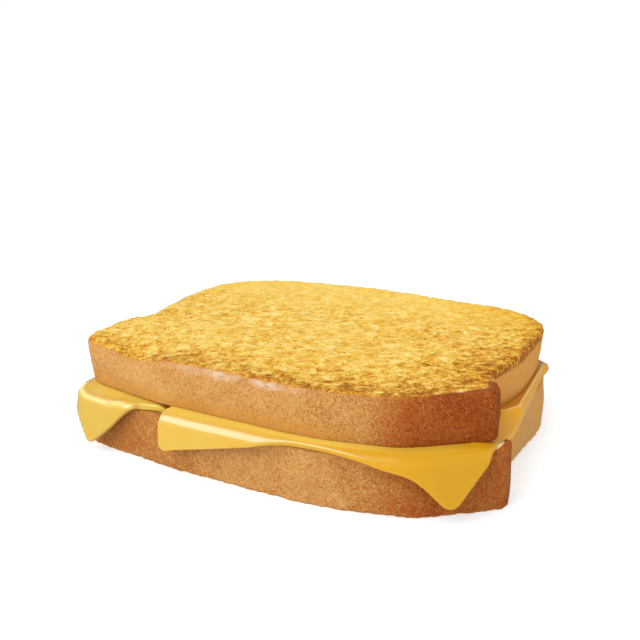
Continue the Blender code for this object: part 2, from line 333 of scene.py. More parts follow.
@dataclass(frozen=True)
class BreadFinish:
    """Fried bread: buttery gold face, smooth brown crust round it and pale crumb behind, with a painted sheen below the
    rim and painted bounce light at the crust's foot.
    """

    name: str
    toast_stops: tuple[tuple[float, Colour], ...] = (
        (0.00, (0.84, 0.67, 0.26)),
        (0.15, (0.80, 0.58, 0.150)),
        (0.30, (0.75, 0.48, 0.078)),
        (0.45, (0.70, 0.40, 0.034)),
        (0.60, (0.61, 0.295, 0.018)),
        (0.80, (0.47, 0.170, 0.012)),
        (1.00, (0.27, 0.075, 0.009)),
    )
    crust_stops: tuple[tuple[float, Colour], ...] = (
        # Lowest stop, reached on the right sides: a saturated orange that is partly the pale crust and partly painted
        # bounce light in the sides' shade.
        (0.00, (0.66, 0.290, 0.048)),
        (0.20, (0.57, 0.315, 0.110)),
        (0.40, (0.495, 0.245, 0.070)),
        (0.60, (0.365, 0.130, 0.027)),
        (0.80, (0.325, 0.073, 0.010)),
        (1.00, (0.185, 0.034, 0.005)),
    )
    crumb_stops: tuple[tuple[float, Colour], ...] = (
        (0.30, (0.62, 0.44, 0.20)),
        (0.55, (0.80, 0.66, 0.40)),
        (0.80, (0.88, 0.77, 0.54)),
    )
    rim_colour: Colour = (0.46, 0.18, 0.024)
    # Paler pinkish colour painted in a torn band just below the upper slice's toasted rim: a painted sheen, standing in
    # for the rounded rim's highlight.
    painted_sheen_colour: Colour = (0.58, 0.40, 0.26)
    # Warm orange painted on the lowest few millimetres of the crust, next to the cheese: painted bounce light from the
    # cheese.
    painted_bounce_colour: Colour = (0.52, 0.225, 0.032)
    roughness: float = 0.55

    def toast(self, bench: NodeBench) -> bpy.types.NodeSocket:
        """Colour of the fried face: cream in the hollows, brown on the ridges and in thin wavy lines."""
        streak = bench.noise(1.45 * MM, detail=4, roughness=0.66, stretch=(1.1, 1.0, 1.0), turn=math.radians(25))
        blobs = bench.noise(4.0 * MM, detail=2, roughness=0.4)
        grain = bench.noise(0.37 * MM, detail=2, roughness=0.7)
        wavy = bench.noise(3.2 * MM, detail=3, distortion=0.8, stretch=(1.4, 0.95, 1.0), turn=math.radians(25))
        marks = bench.total((streak, 1.6), (blobs, 0.8), (grain, 1.9), (bench.lines(wavy, 0.03), 0.28), (1.0, -2.18))
        uneven = bench.maths("MULTIPLY", marks, bench.attribute("contrast"))
        return bench.ramp(bench.total((bench.attribute("toasting"), 1), (uneven, 1)), self.toast_stops)

    def crust(self, bench: NodeBench) -> bpy.types.NodeSocket:
        """Colour of the crust, mottled and finely speckled."""
        mottle = bench.noise(7 * MM, detail=3, roughness=0.6)
        fine = bench.noise(0.9 * MM, detail=3, roughness=0.7)
        grain = bench.noise(0.45 * MM, detail=2)
        value = bench.total((bench.attribute("browning"), 0.8), (mottle, 0.28), (fine, 0.60), (grain, 0.52),
                            (1.0, -0.50))
        base = bench.ramp(value, self.crust_stops)
        pits = bench.between(bench.specks(2.3 * MM), 0.20, 0.05)
        pitted = bench.blend(bench.maths("MULTIPLY", pits, 0.35), base, (0.17, 0.045, 0.008))
        pale = bench.between(bench.specks(2.2 * MM), 0.11, 0.04)
        return bench.blend(bench.maths("MULTIPLY", pale, 0.5), pitted, (0.72, 0.45, 0.20))

    def crumb(self, bench: NodeBench) -> bpy.types.NodeSocket:
        """Colour of the soft cut face."""
        return bench.ramp(bench.noise(2.2 * MM, detail=5, roughness=0.65), self.crumb_stops)

    def material(self) -> bpy.types.Material:
        """Material with all three zones, told apart by the values that the mesh carries."""
        bench = NodeBench(self.name)
        ragged = bench.noise(2.4 * MM, detail=4, roughness=0.6)
        below = bench.total((bench.attribute("below_rim"), 1), (ragged, 2.4), (1.0, -1.2))
        crust_share = bench.between(below, -0.35, 0.15)
        rim_share = bench.maths("MULTIPLY", bench.between(below, -1.4, -0.2), bench.between(below, 0.75, 0.0))
        # Torn band just below the rim that takes the painted sheen colour.
        painted_light = bench.maths("MULTIPLY", bench.between(below, -0.05, 0.25), bench.between(below, 2.9, 0.9))
        torn = bench.between(bench.noise(1.3 * MM, detail=3, roughness=0.6, stretch=(1.6, 1.6, 0.8)), 0.22, 0.56)
        painted_light = bench.maths("MULTIPLY", painted_light, bench.maths("MULTIPLY", torn, 1.15))
        painted_sheen_share = bench.maths("MULTIPLY", painted_light, bench.attribute("painted_sheen"))
        # Painted bounce light from the cheese at the crust's foot.
        painted_bounce_share = bench.maths("MULTIPLY", bench.attribute("painted_bounce"), 0.6)
        crumb_share = bench.between(bench.total((bench.attribute("crumb"), 1), (ragged, 0.5), (1.0, -0.25)), 0.35, 0.65)
        toast = self.toast(bench)
        crust = bench.blend(painted_bounce_share, self.crust(bench), self.painted_bounce_colour)
        crust = bench.blend(painted_sheen_share, crust, self.painted_sheen_colour)
        colour = bench.blend(crust_share, toast, crust)
        colour = bench.blend(bench.maths("MULTIPLY", rim_share, 0.3), colour, self.rim_colour)
        colour = bench.blend(crumb_share, colour, self.crumb(bench))
        bench.join(colour, bench.shader.inputs["Base Color"])
        gloss = bench.noise(5 * MM, detail=3)
        bench.join(bench.total((gloss, 0.3), (crumb_share, 0.3), (1.0, self.roughness - 0.15)),
                   bench.shader.inputs["Roughness"])
        bench.shader.inputs["Specular IOR Level"].default_value = 0.06
        fine = bench.bump(bench.noise(0.6 * MM, detail=3, roughness=0.6), 0.2 * MM)
        bench.join(bench.bump(bench.noise(1.9 * MM, detail=3), 0.3 * MM, fine), bench.shader.inputs["Normal"])
        return bench.material


@dataclass(frozen=True)
class CheeseFinish:
    """Soft melted cheese: even yellow, a little translucent, with a wet gloss; its colour also carries painted fill and
    bounce light where the crust shades it, painted shade under the right overhang and painted highlight lines.
    """

    name: str
    pale: Colour = (0.62, 0.395, 0.058)
    deep: Colour = (0.60, 0.305, 0.005)
    # Dark orange painted on the cheese under the upper slice's right overhang: painted shade.
    painted_shade_orange: Colour = (0.62, 0.220, 0.015)
    # Light colour painted in thin lines along the folds and the right crease: painted highlight.
    light: Colour = (1.0, 0.66, 0.24)
    # Lighter colour painted where the cheese lies flat in the crust's shade: painted fill light.
    painted_fill: Colour = (0.76, 0.53, 0.085)
    # Warmer orange painted where the cheese lies in shade next to the crust: painted bounce light from the crust.
    painted_warm_fill: Colour = (0.80, 0.39, 0.008)
    roughness: float = 0.24

    def material(self) -> bpy.types.Material:
        """Material of the cheese."""
        bench = NodeBench(self.name)
        cloud = bench.noise(9 * MM, detail=3)
        # Pale to deep from left to right, and dark orange where painted shade falls under the right overhang.
        depth = bench.total((bench.attribute("depth"), 1), (cloud, 0.2), (1.0, -0.1))
        colour = bench.ramp(depth, ((0.0, self.pale), (0.5, self.deep), (1.0, self.painted_shade_orange)))
        # Painted fill light and painted warm bounce light lighten the cheese where the crust shades it.
        colour = bench.blend(bench.attribute("painted_fill"), colour, self.painted_fill)
        colour = bench.blend(bench.attribute("painted_warm_fill"), colour, self.painted_warm_fill)
        # Painted highlight: thin light lines along the folds and the right crease.
        bench.join(bench.blend(bench.attribute("line"), colour, self.light), bench.shader.inputs["Base Color"])
        bench.join(bench.total((bench.noise(3 * MM, detail=3), 0.16), (1.0, self.roughness - 0.08)),
                   bench.shader.inputs["Roughness"])
        bench.shader.inputs["Subsurface Weight"].default_value = 0.35
        bench.shader.inputs["Subsurface Radius"].default_value = (1.0, 0.45, 0.12)
        bench.shader.inputs["Subsurface Scale"].default_value = 2.5 * MM
        bench.shader.inputs["Specular IOR Level"].default_value = 0.4
        bench.shader.inputs["Coat Weight"].default_value = 0.35
        bench.shader.inputs["Coat Roughness"].default_value = 0.08
        fine = bench.bump(bench.noise(0.8 * MM, detail=2), 0.012 * MM)
        bench.join(bench.bump(bench.noise(3.5 * MM, detail=2), 0.07 * MM, fine), bench.shader.inputs["Normal"])
        return bench.material


# Meshes -----------------------------------------------------------------------------------------


def mesh_piece(name: str, points: Points, faces: Sequence[Sequence[int]],
               values: dict[str, Points], material: bpy.types.Material) -> bpy.types.Object:
    """Make a smooth mesh object.

    Args:
        name: name of the piece.
        points: its points, one row each.
        faces: indices of each face's points, anticlockwise from outside.
        values: numbers that the material reads at each point, by name.
        material: its finish.

    Returns:
        The object, linked to the scene.
    """
    mesh = bpy.data.meshes.new(name)
    mesh.from_pydata(points.tolist(), [], faces)
    mesh.shade_smooth()
    for label, numbers in values.items():
        layer = mesh.attributes.new(label, "FLOAT", "POINT")
        layer.data.foreach_set("value", numbers.astype(np.float32))
    mesh.materials.append(material)
    mesh.update()
    piece = bpy.data.objects.new(name, mesh)
    bpy.context.scene.collection.objects.link(piece)
    return piece


def ring_faces(first: int, second: int, count: int) -> list[tuple[int, ...]]:
    """Faces between two rings of points that start at the given indices."""
    index = np.arange(count)
    after = (index + 1) % count
    return np.column_stack([first + index, first + after, second + after, second + index]).tolist()


def fan_faces(ring: int, centre: int, count: int) -> list[tuple[int, ...]]:
    """Faces from a ring of points to one point in its middle."""
    index = np.arange(count)
    after = (index + 1) % count
    return np.column_stack([ring + index, ring + after, np.full(count, centre)]).tolist()


class Facing(Enum):
    """Which way a slice's toasted face looks."""

    UP = 1
    DOWN = -1


@dataclass(frozen=True)
class LoafShape:
    """Outline of a slice at one height seen from above, measured from the loaf's own middle."""

    corners: tuple[Corner, ...]
    turns: tuple[int, int, int, int]

    @classmethod
    def upper_foot(cls) -> "LoafShape":
        """Outline of the upper slice's crumb face, anticlockwise from the crown's left front."""
        return cls(millimetres((-64, -40.9, 11), (-30, -49.5, 60), (20, -53.4, 80), (45, -49.4, 18),
                               (66.9, -33, 4), (60.1, -13.5, 5, True), (64.2, 4, 20), (64, 46.3, 24),
                               (-2, 57.5, 150), (-64.4, 54.5, 28), (-60.7, -8, 3, True), (-65.5, -17, 6)),
                   (0, 4, 7, 9))

    @classmethod
    def lower_foot(cls) -> "LoafShape":
        """Outline of the lower slice, anticlockwise from the crown's left front."""
        return cls(millimetres((-66.4, -41.8, 6.5), (-30, -49.5, 60), (20, -53.4, 80), (45, -49.4, 18),
                               (66.9, -33, 4), (59.9, -15.5, 5, True), (62.1, 0, 40), (64.3, 22, 30), (61.2, 46, 20),
                               (-2, 57.5, 150), (-64.4, 54.5, 28), (-60.7, -8, 3, True), (-65.5, -17, 6)),
                   (0, 4, 8, 10))

    @classmethod
    def fold(cls) -> "LoafShape":
        """Line along which the cheese folds down round the lower slice."""
        return cls(millimetres((-66.4, -41.8, 6.5), (-30, -49.5, 60), (20, -53.4, 80), (45, -49.4, 18),
                               (66.9, -33, 4), (64.2, 4, 20), (64, 46.3, 24), (-2, 57.5, 150), (-64.4, 54.5, 28),
                               (-65.5, -17, 6)), (0, 4, 6, 8))

    @classmethod
    def rim(cls) -> "LoafShape":
        """Outline of the upper slice's toasted face, which leans back at the crown and overhangs elsewhere."""
        return cls(millimetres((-66.3, -39.8, 8), (-30, -47.7, 60), (20, -51.6, 80), (45, -47.8, 18),
                               (67.2, -33, 4), (60.6, -17.5, 5, True), (64.5, 1, 25), (65.1, 47, 22),
                               (-2, 59, 150), (-63.4, 56.8, 32), (-65.2, 18, 30), (-61, -9, 3, True),
                               (-66.4, -19, 5)),
                   (0, 4, 7, 9))

    def outline(self, with_notches: bool = True) -> Points:
        """Rounded outline, with or without the pinched-in places where the crown meets the body."""
        corners = [corner for corner in self.corners if with_notches or not corner.notch]
        return rounded(corners, 0.5 * MM)

    def quarters(self) -> Points:
        """The four places where the outline turns from one side to the next, from the left front."""
        return np.array([(self.corners[index].x, self.corners[index].y) for index in self.turns])


@dataclass
class Patch:
    """Grid of points over the inside of a closed outline whose points go once round the grid."""

    across: int
    along: int

    @property
    def around(self) -> int:
        """How many points the outline has."""
        return 2 * (self.across + self.along)

    def boundary_index(self, column: int, row: int) -> int | None:
        """Place along the outline of a grid point on the edge, or None for one inside."""
        if row == 0:
            return column
        if column == self.across:
            return self.across + row
        if row == self.along:
            return 2 * self.across + self.along - column
        if column == 0:
            return (self.around - row) % self.around
        return None

    def inside(self, outline: Points, middle: Points) -> tuple[Points, Points]:
        """Points inside the outline.

        Args:
            outline: closed outline, from the grid's first corner.
            middle: point that the grid is drawn in towards.

        Returns:
            The points row by row, and how far out each lies, from 0 in the middle to 1 at the outline.
        """
        column, row = np.meshgrid(np.arange(1, self.across), np.arange(1, self.along))
        sideways = 2 * column.ravel() / self.across - 1
        forwards = 2 * row.ravel() / self.along - 1
        out = np.maximum(np.abs(sideways), np.abs(forwards))
        safe = np.maximum(out, 1e-9)
        across = (sideways / safe + 1) / 2 * self.across
        along = (forwards / safe + 1) / 2 * self.along
        on_front = np.isclose(forwards, -out)
        on_right = np.isclose(sideways, out) & ~on_front
        on_back = np.isclose(forwards, out) & ~on_front & ~on_right
        place = np.where(on_front, across, np.where(on_right, self.across + along, np.where(
            on_back, 2 * self.across + self.along - across, self.around - along)))
        closed = np.vstack([outline, outline[:1]])
        rim = np.column_stack([np.interp(place, np.arange(self.around + 1), closed[:, axis]) for axis in (0, 1)])
        return middle + (rim - middle) * out[:, None], out

    def faces(self, rim_start: int, inside_start: int) -> list[tuple[int, ...]]:
        """Quads of the grid, anticlockwise from above."""
        index = np.empty((self.along + 1, self.across + 1), dtype=int)
        for row in range(self.along + 1):
            for column in range(self.across + 1):
                edge = self.boundary_index(column, row)
                if edge is None:
                    index[row, column] = inside_start + (row - 1) * (self.across - 1) + column - 1
                else:
                    index[row, column] = rim_start + edge
        quads = np.stack([index[:-1, :-1], index[:-1, 1:], index[1:, 1:], index[1:, :-1]], axis=-1)
        return quads.reshape(-1, 4).tolist()


@dataclass
class LoafSlice:
    """One slice of loaf: toasted face, crust round the side and crumb face against the cheese."""

    name: str
    node: str
    facing: Facing
    thickness: float
    base: float
    foot: LoafShape
    rim: LoafShape
    shift: Points
    turn: float
    finish: BreadFinish
    seed: int
    crumb_depth: Callable[[Points], Points]
    front_browning: tuple[tuple[float, float], ...]
    right_browning: float = 0.0
    wrap_right: float = 0.4 * MM
    wrap_corner: float = 0.0
    crown_crust: float = 0.0
    corner_rounding: float = 0.0
    corner_dip: float = 0.0
    # How much painted light the slice carries: the painted sheen below the rim and the painted bounce light at the
    # crust's foot.
    painted_light: float = 0.0
    bulge: float = 0.3 * MM
    toasted_rim: float = 1.4 * MM
    crumb_rim: float = 0.7 * MM
    toast_dip: float = 0.5 * MM
    patch: Patch = field(default_factory=lambda: Patch(across=230, along=180))
    wall_rings: int = 20
    rim_rings: int = 6
    crumb_rings: tuple[float, ...] = (0.005, 0.012, 0.02, 0.035, 0.055, 0.08, 0.12, 0.18, 0.27, 0.4, 0.6, 0.8)

    def spread_outline(self, shape: LoafShape) -> tuple[Points, Points]:
        """Outline with the patch's count of points on each side, and its outward normals.

        Args:
            shape: outline of the slice at one height.

        Returns:
            The points and the unit normals, one row each.
        """
        outline = turned(shape.outline(), self.shift, self.turn)
        quarters = turned(shape.quarters(), self.shift, self.turn)
        lengths = along_curve(outline)
        gaps = np.linalg.norm(outline[:, None] - quarters[None], axis=2)
        marks = [lengths[index] for index in gaps.argmin(axis=0)]
        marks.append(marks[0] + lengths[-1])
        marks = [mark if mark >= marks[0] else mark + lengths[-1] for mark in marks]
        counts = (self.patch.across, self.patch.along) * 2
        stretches = [np.linspace(low, high, count, endpoint=False)
                     for low, high, count in zip(marks, marks[1:], counts)]
        points = softened(spaced(outline, np.concatenate(stretches)), 2)
        return points, softened(outward(points), 3)

    def near_corner(self, points: Points, reach: float) -> Points:
        """Nearness to the crown's left front corner: 1 there, fading to 0 over reach."""
        corner = turned(np.array([[-56 * MM, -44 * MM]]), self.shift, self.turn)[0]
        return np.exp(-(np.linalg.norm(points[:, :2] - corner, axis=1) / reach) ** 2)

    def dipped(self, plan: Points, run: Points) -> Points:
        """How far the toasted face dips towards its rim near the left end of the front."""
        along = (plan[:, 0] + 44 * MM) / (9 * MM)
        inside = np.minimum(run, 0) / (7 * MM)
        return self.corner_dip * np.exp(-along ** 2 - inside ** 2) * (plan[:, 1] < 0)

    def build(self) -> bpy.types.Object:
        """Shape the slice and dress it in its finish.

        Returns:
            The finished piece, riding on the sandwich's one body.
        """
        rim_outline, rim_normals = self.spread_outline(self.rim)
        outline, normals = self.spread_outline(self.foot)
        middle = (outline.min(axis=0) + outline.max(axis=0)) / 2
        around = self.patch.around
        plans, heights, directions, below, crumb, sides = [], [], [], [], [], []

        def ring(inset: Any, height: Any, upward: float, run: Any, rim_share: float) -> None:
            """Add one ring of the side, level by level from the toasted face down."""
            side = normals + (rim_normals - normals) * rim_share
            side /= np.linalg.norm(side, axis=1)[:, None]
            plan = outline + (rim_outline - outline) * rim_share
            plans.append(plan - side * np.broadcast_to(inset, around)[:, None])
            heights.append(np.broadcast_to(height, around))
            level = math.sqrt(max(0.0, 1 - upward * upward))
            directions.append(np.column_stack([side * level, np.full(around, upward)]))
            below.append(np.broadcast_to(run, around))
            crumb.append(np.zeros(around))
            sides.append(side)

        rounding = self.toasted_rim + self.corner_rounding * self.near_corner(rim_outline, 17 * MM)
        for angle in np.linspace(0, math.pi / 2, self.rim_rings):
            ring(rounding * (1 - math.sin(angle)), self.thickness - rounding * (1 - math.cos(angle)),
                 math.cos(angle), rounding * (angle - math.pi / 4), 1.0)
        wall = self.thickness - rounding - self.crumb_rim
        for share in np.linspace(0, 1, self.wall_rings + 2)[1:-1]:
            ring(-self.bulge * math.sin(math.pi * share), self.crumb_rim + wall * (1 - share),
                 0.0, rounding * math.pi / 4 + wall * share, (1 - share) ** 1.4)
        for angle in np.linspace(0, math.pi / 2, self.rim_rings):
            inset = self.crumb_rim * (1 - math.cos(angle))
            depth = self.crumb_depth(outline - normals * inset)
            ring(inset, self.crumb_rim * (1 - math.sin(angle)) + depth * math.sin(angle),
                 -math.sin(angle), wall + self.crumb_rim * angle, 0.0)
        wall = np.broadcast_to(wall, around)
        last = plans[-1]
        for share in self.crumb_rings:
            plan = last + (middle - last) * share
            plans.append(plan)
            heights.append(self.crumb_depth(plan))
            directions.append(np.tile((0.0, 0.0, -1.0), (around, 1)))
            sides.append(normals)
            below.append(wall)
            inset = np.linalg.norm(plan - last, axis=1)
            crumb.append(ease(inset, 0.2 * MM, 2.2 * MM))
        rings = len(plans)
        plans.append(middle[None, :])
        heights.append(self.crumb_depth(middle[None, :]))
        directions.append(np.array([[0.0, 0.0, -1.0]]))
        sides.append(normals[:1])
        below.append(wall[:1])
        crumb.append(np.array([1.0]))

        inner, out = self.patch.inside(plans[0], middle)
        reach = np.linalg.norm(inner - middle, axis=1) * (1 / np.maximum(out, 1e-3) - 1)
        plans.append(inner)
        heights.append(self.thickness - self.toast_dip * ease(reach, 0, 9 * MM))
        directions.append(np.tile((0.0, 0.0, 1.0), (len(inner), 1)))
        sides.append(np.tile((0.0, -1.0), (len(inner), 1)))
        below.append(-reach - self.toasted_rim * math.pi / 4)
        crumb.append(np.zeros(len(inner)))

        plan = np.vstack(plans)
        height = np.concatenate(heights)
        direction = np.vstack(directions)
        run = np.concatenate(below)
        points = np.column_stack([plan, height])
        relief, toasting, contrast = self.face_relief(points, run)
        side = self.crust_relief(points)
        upward = np.clip(direction[:, 2], 0, 1)
        rough = self.rim_roughness(points) * np.exp(-(run / (1.6 * MM)) ** 2)
        outwards = np.vstack(sides)
        wrap = self.wrap_right * ease(outwards[:, 0], 0.75, 0.95) * ease(plan[:, 1], -26 * MM, -16 * MM)
        wrap = wrap + self.wrap_corner * self.near_corner(points, 20 * MM)
        wrap = wrap - self.crown_crust * ease(plan[:, 0], 38 * MM, 60 * MM) * ease(-plan[:, 1], 20 * MM, 28 * MM)
        # Painted sheen: the band below the rim is painted paler from the left end to the middle of the front.
        painted_sheen = ease(plan[:, 0], -36 * MM, -16 * MM) * (1 - ease(plan[:, 0], 6 * MM, 22 * MM))
        painted_sheen = painted_sheen * ease(-direction[:, 1], 0.3, 0.7) * self.painted_light
        # Painted bounce light: the crust's lowest few millimetres are painted warmer orange, fading out towards the
        # right.
        painted_bounce = ease(run, 7.5 * MM, 11.5 * MM) * (1 - ease(plan[:, 0], 15 * MM, 40 * MM)) * self.painted_light
        points = points + direction * (upward * relief + (1 - upward) * side + rough)[:, None]
        faces = self.patch.faces(0, rings * around + 1)
        for index in range(rings - 1):
            faces += ring_faces((index + 1) * around, index * around, around)
        faces += [face[::-1] for face in fan_faces((rings - 1) * around, rings * around, around)]
        points[:, 2] -= self.dipped(plan, run) * np.clip(height / self.thickness, 0, 1) ** 2
        if self.facing is Facing.UP:
            points[:, 2] += self.base
        else:
            points[:, 2] = self.base + self.thickness - points[:, 2]
            points[:, 2] = np.maximum(points[:, 2], 0.0)
            faces = [face[::-1] for face in faces]
        values = {
            "below_rim": (run - wrap) / MM,
            "painted_sheen": np.clip(painted_sheen * (0.62 + 1.5 * Unevenness(7 * MM, self.seed + 71, 2).at(points)), 0, 1),
            "painted_bounce": painted_bounce,
            "toasting": toasting,
            "contrast": contrast,
            "browning": self.browning(points, outwards),
            "crumb": np.concatenate(crumb),
        }
        piece = mesh_piece(self.name, points, faces, values, self.finish.material())
        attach(piece, BODY)
        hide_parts(self.node)
        return piece

    def face_relief(self, points: Points, run: Points) -> tuple[Points, Points, Points]:
        """Relief and browning of the toasted face.

        Args:
            points: places on the slice.
            run: length from the toasted rim to each place, negative on the face.

        Returns:
            Height of the relief at each place, how browned the place is from 0 to 1, and how strongly it is marked.
        """
        coarse = Unevenness(3.6 * MM, self.seed, 2).ridges(points)
        fine = Unevenness(1.7 * MM, self.seed + 7, 2).ridges(points)
        blobs = Unevenness(2.8 * MM, self.seed + 13).at(points)
        broad = Unevenness(24 * MM, self.seed + 19).at(points)
        cluster = Unevenness(11 * MM, self.seed + 29, 2).at(points)
        network = 0.6 * coarse + 0.4 * fine
        relief = (0.30 * (network - 0.5) + 0.16 * blobs + 0.8 * broad) * MM
        right = ease(points[:, 0], 10 * MM, 62 * MM)
        front = 1 - ease(points[:, 1], -52 * MM, -22 * MM)
        pinch = np.exp(-((points[:, 0] - 58 * MM) ** 2 + (points[:, 1] + 20 * MM) ** 2) / (13 * MM) ** 2)
        edge = np.exp(run / (4.0 * MM)) * (0.06 + 0.20 * right + 0.07 * front)
        back = ease(points[:, 1], 12 * MM, 50 * MM)
        contrast = (0.80 + 0.25 * right + 0.40 * front) * (1 - 0.6 * back)
        toasting = (0.34 * (network - 0.5) - 0.32 * blobs + 0.26 * cluster * network) * contrast
        toasting += 0.29 - 0.05 * back + 0.12 * right + 0.22 * front + 0.26 * pinch + edge
        return relief, toasting, contrast

    def crust_relief(self, points: Points) -> Points:
        """Relief of the crust: gently lumpy and nearly smooth."""
        lumps = Unevenness(17 * MM, self.seed + 41, 2).at(points)
        dimples = Unevenness(2.4 * MM, self.seed + 47, 2).at(points)
        return (0.5 * lumps + 0.09 * dimples) * MM

    def rim_roughness(self, points: Points) -> Points:
        """How far the toasted rim stands out in crumbs and nicks."""
        return 0.42 * MM * Unevenness(2.3 * MM, self.seed + 53, 2).at(points)

    def browning(self, points: Points, outwards: Points) -> Points:
        """How brown the crust is, from 0 to 1: most on the crown's right shoulder, least on the right side, where the
        lowest values give a saturated orange that is partly painted bounce light for the side's shade.
        """
        places, amounts = zip(*self.front_browning)
        front = np.interp(points[:, 0] / MM, places, amounts)
        # On the right sides the browning drops towards the lowest stop, whose orange is partly painted bounce light in
        # shade.
        beside = 0.30 - (0.30 - self.right_browning) * ease(outwards[:, 0], 0.3, 0.9)
        patches = Unevenness(15 * MM, self.seed + 61, 2).at(points)
        facing = np.maximum(ease(-outwards[:, 1], 0.15, 0.6), ease(-points[:, 1], 22 * MM, 27 * MM))
        return beside + (front - beside) * facing + 0.09 * patches


@dataclass
class FoldLine:
    """Line along the lower slice's rim over which the cheese folds."""

    points: Points
    radius: float = 2.6 * MM
    start: float = -0.5 * MM
    front_droop: float = math.radians(80)
    left_droop: float = math.radians(81)
    corner_droop: float = math.radians(72)
    side_droop: float = math.radians(42)
    side_radius: float = 0.8 * MM
    corner_direction: tuple[float, float] = (0.1, 0.6)
    side_direction: tuple[float, float] = (0.86, 0.98)

    def nearest(self, places: Points) -> tuple[Points, Points, Points]:
        """Nearest point of the line, the outward direction there and the distance outside it."""
        span = np.roll(self.points, -1, axis=0) - self.points
        normals = outward(self.points)
        offset = places[:, None, :] - self.points[None, :, :]
        ratio = np.clip((offset * span).sum(axis=2) / (span * span).sum(axis=1), 0, 1)
        foot = self.points + ratio[:, :, None] * span
        away = places[:, None, :] - foot
        reach = np.linalg.norm(away, axis=2)
        best = reach.argmin(axis=1)
        rows = np.arange(len(places))
        share = ratio[rows, best][:, None]
        side = normals[best] * (1 - share) + np.roll(normals, -1, axis=0)[best] * share
        side /= np.linalg.norm(side, axis=1)[:, None]
        outside = np.sign((away[rows, best] * side).sum(axis=1))
        return foot[rows, best], side, reach[rows, best] * outside

    def droop(self, side: Points) -> Points:
        """Angle at which cheese hangs down where the line faces the given direction."""
        at_corner = ease(side[:, 0], *self.corner_direction)
        at_side = ease(side[:, 0], *self.side_direction)
        at_left = ease(-side[:, 0], 0.3, 0.8)
        droop = self.front_droop + (self.corner_droop - self.front_droop) * at_corner
        droop = droop + (self.left_droop - droop) * at_left
        return droop + (self.side_droop - droop) * at_side

    def bend(self, side: Points) -> Points:
        """Radius of the fold where the line faces the given direction: tight along the right side."""
        at_side = ease(side[:, 0], *self.side_direction)
        return self.radius + (min(self.radius, self.side_radius) - self.radius) * at_side


@dataclass(frozen=True)
class SideCrease:
    """Crease along which cheese bends down beyond the upper slice's right side."""

    right: float = 66.1 * MM
    waist_pull: float = 4.9 * MM
    waist: tuple[float, float] = (-15.0 * MM, -6.0 * MM)
    drop: float = 1.9 * MM
    ridge: float = 0.3 * MM

    def waisted(self, points: Points) -> Points:
        """Share of the waist's pull at each place."""
        return np.clip((self.waist[1] - points[:, 1]) / (self.waist[1] - self.waist[0]), 0, 1)

    def place(self, points: Points) -> Points:
        """Where the crease runs, across from each place."""
        behind = np.maximum(points[:, 1] - self.waist[1], 0)
        return self.right - self.waist_pull * self.waisted(points) - 0.033 * behind

    def down(self, points: Points) -> Points:
        """How far the cheese bends down at each place, with a fine ridge along the crease."""
        beyond = points[:, 0] - self.place(points)
        reach = 1.4 * MM + 4.2 * MM * self.waisted(points)
        bent = 0.06 * np.logaddexp(0, beyond / reach / 0.06)
        ridge = self.ridge * np.exp(-(beyond / (0.7 * MM)) ** 2)
        return (self.drop * bent - ridge) * ease(points[:, 1], -42 * MM, -30 * MM)


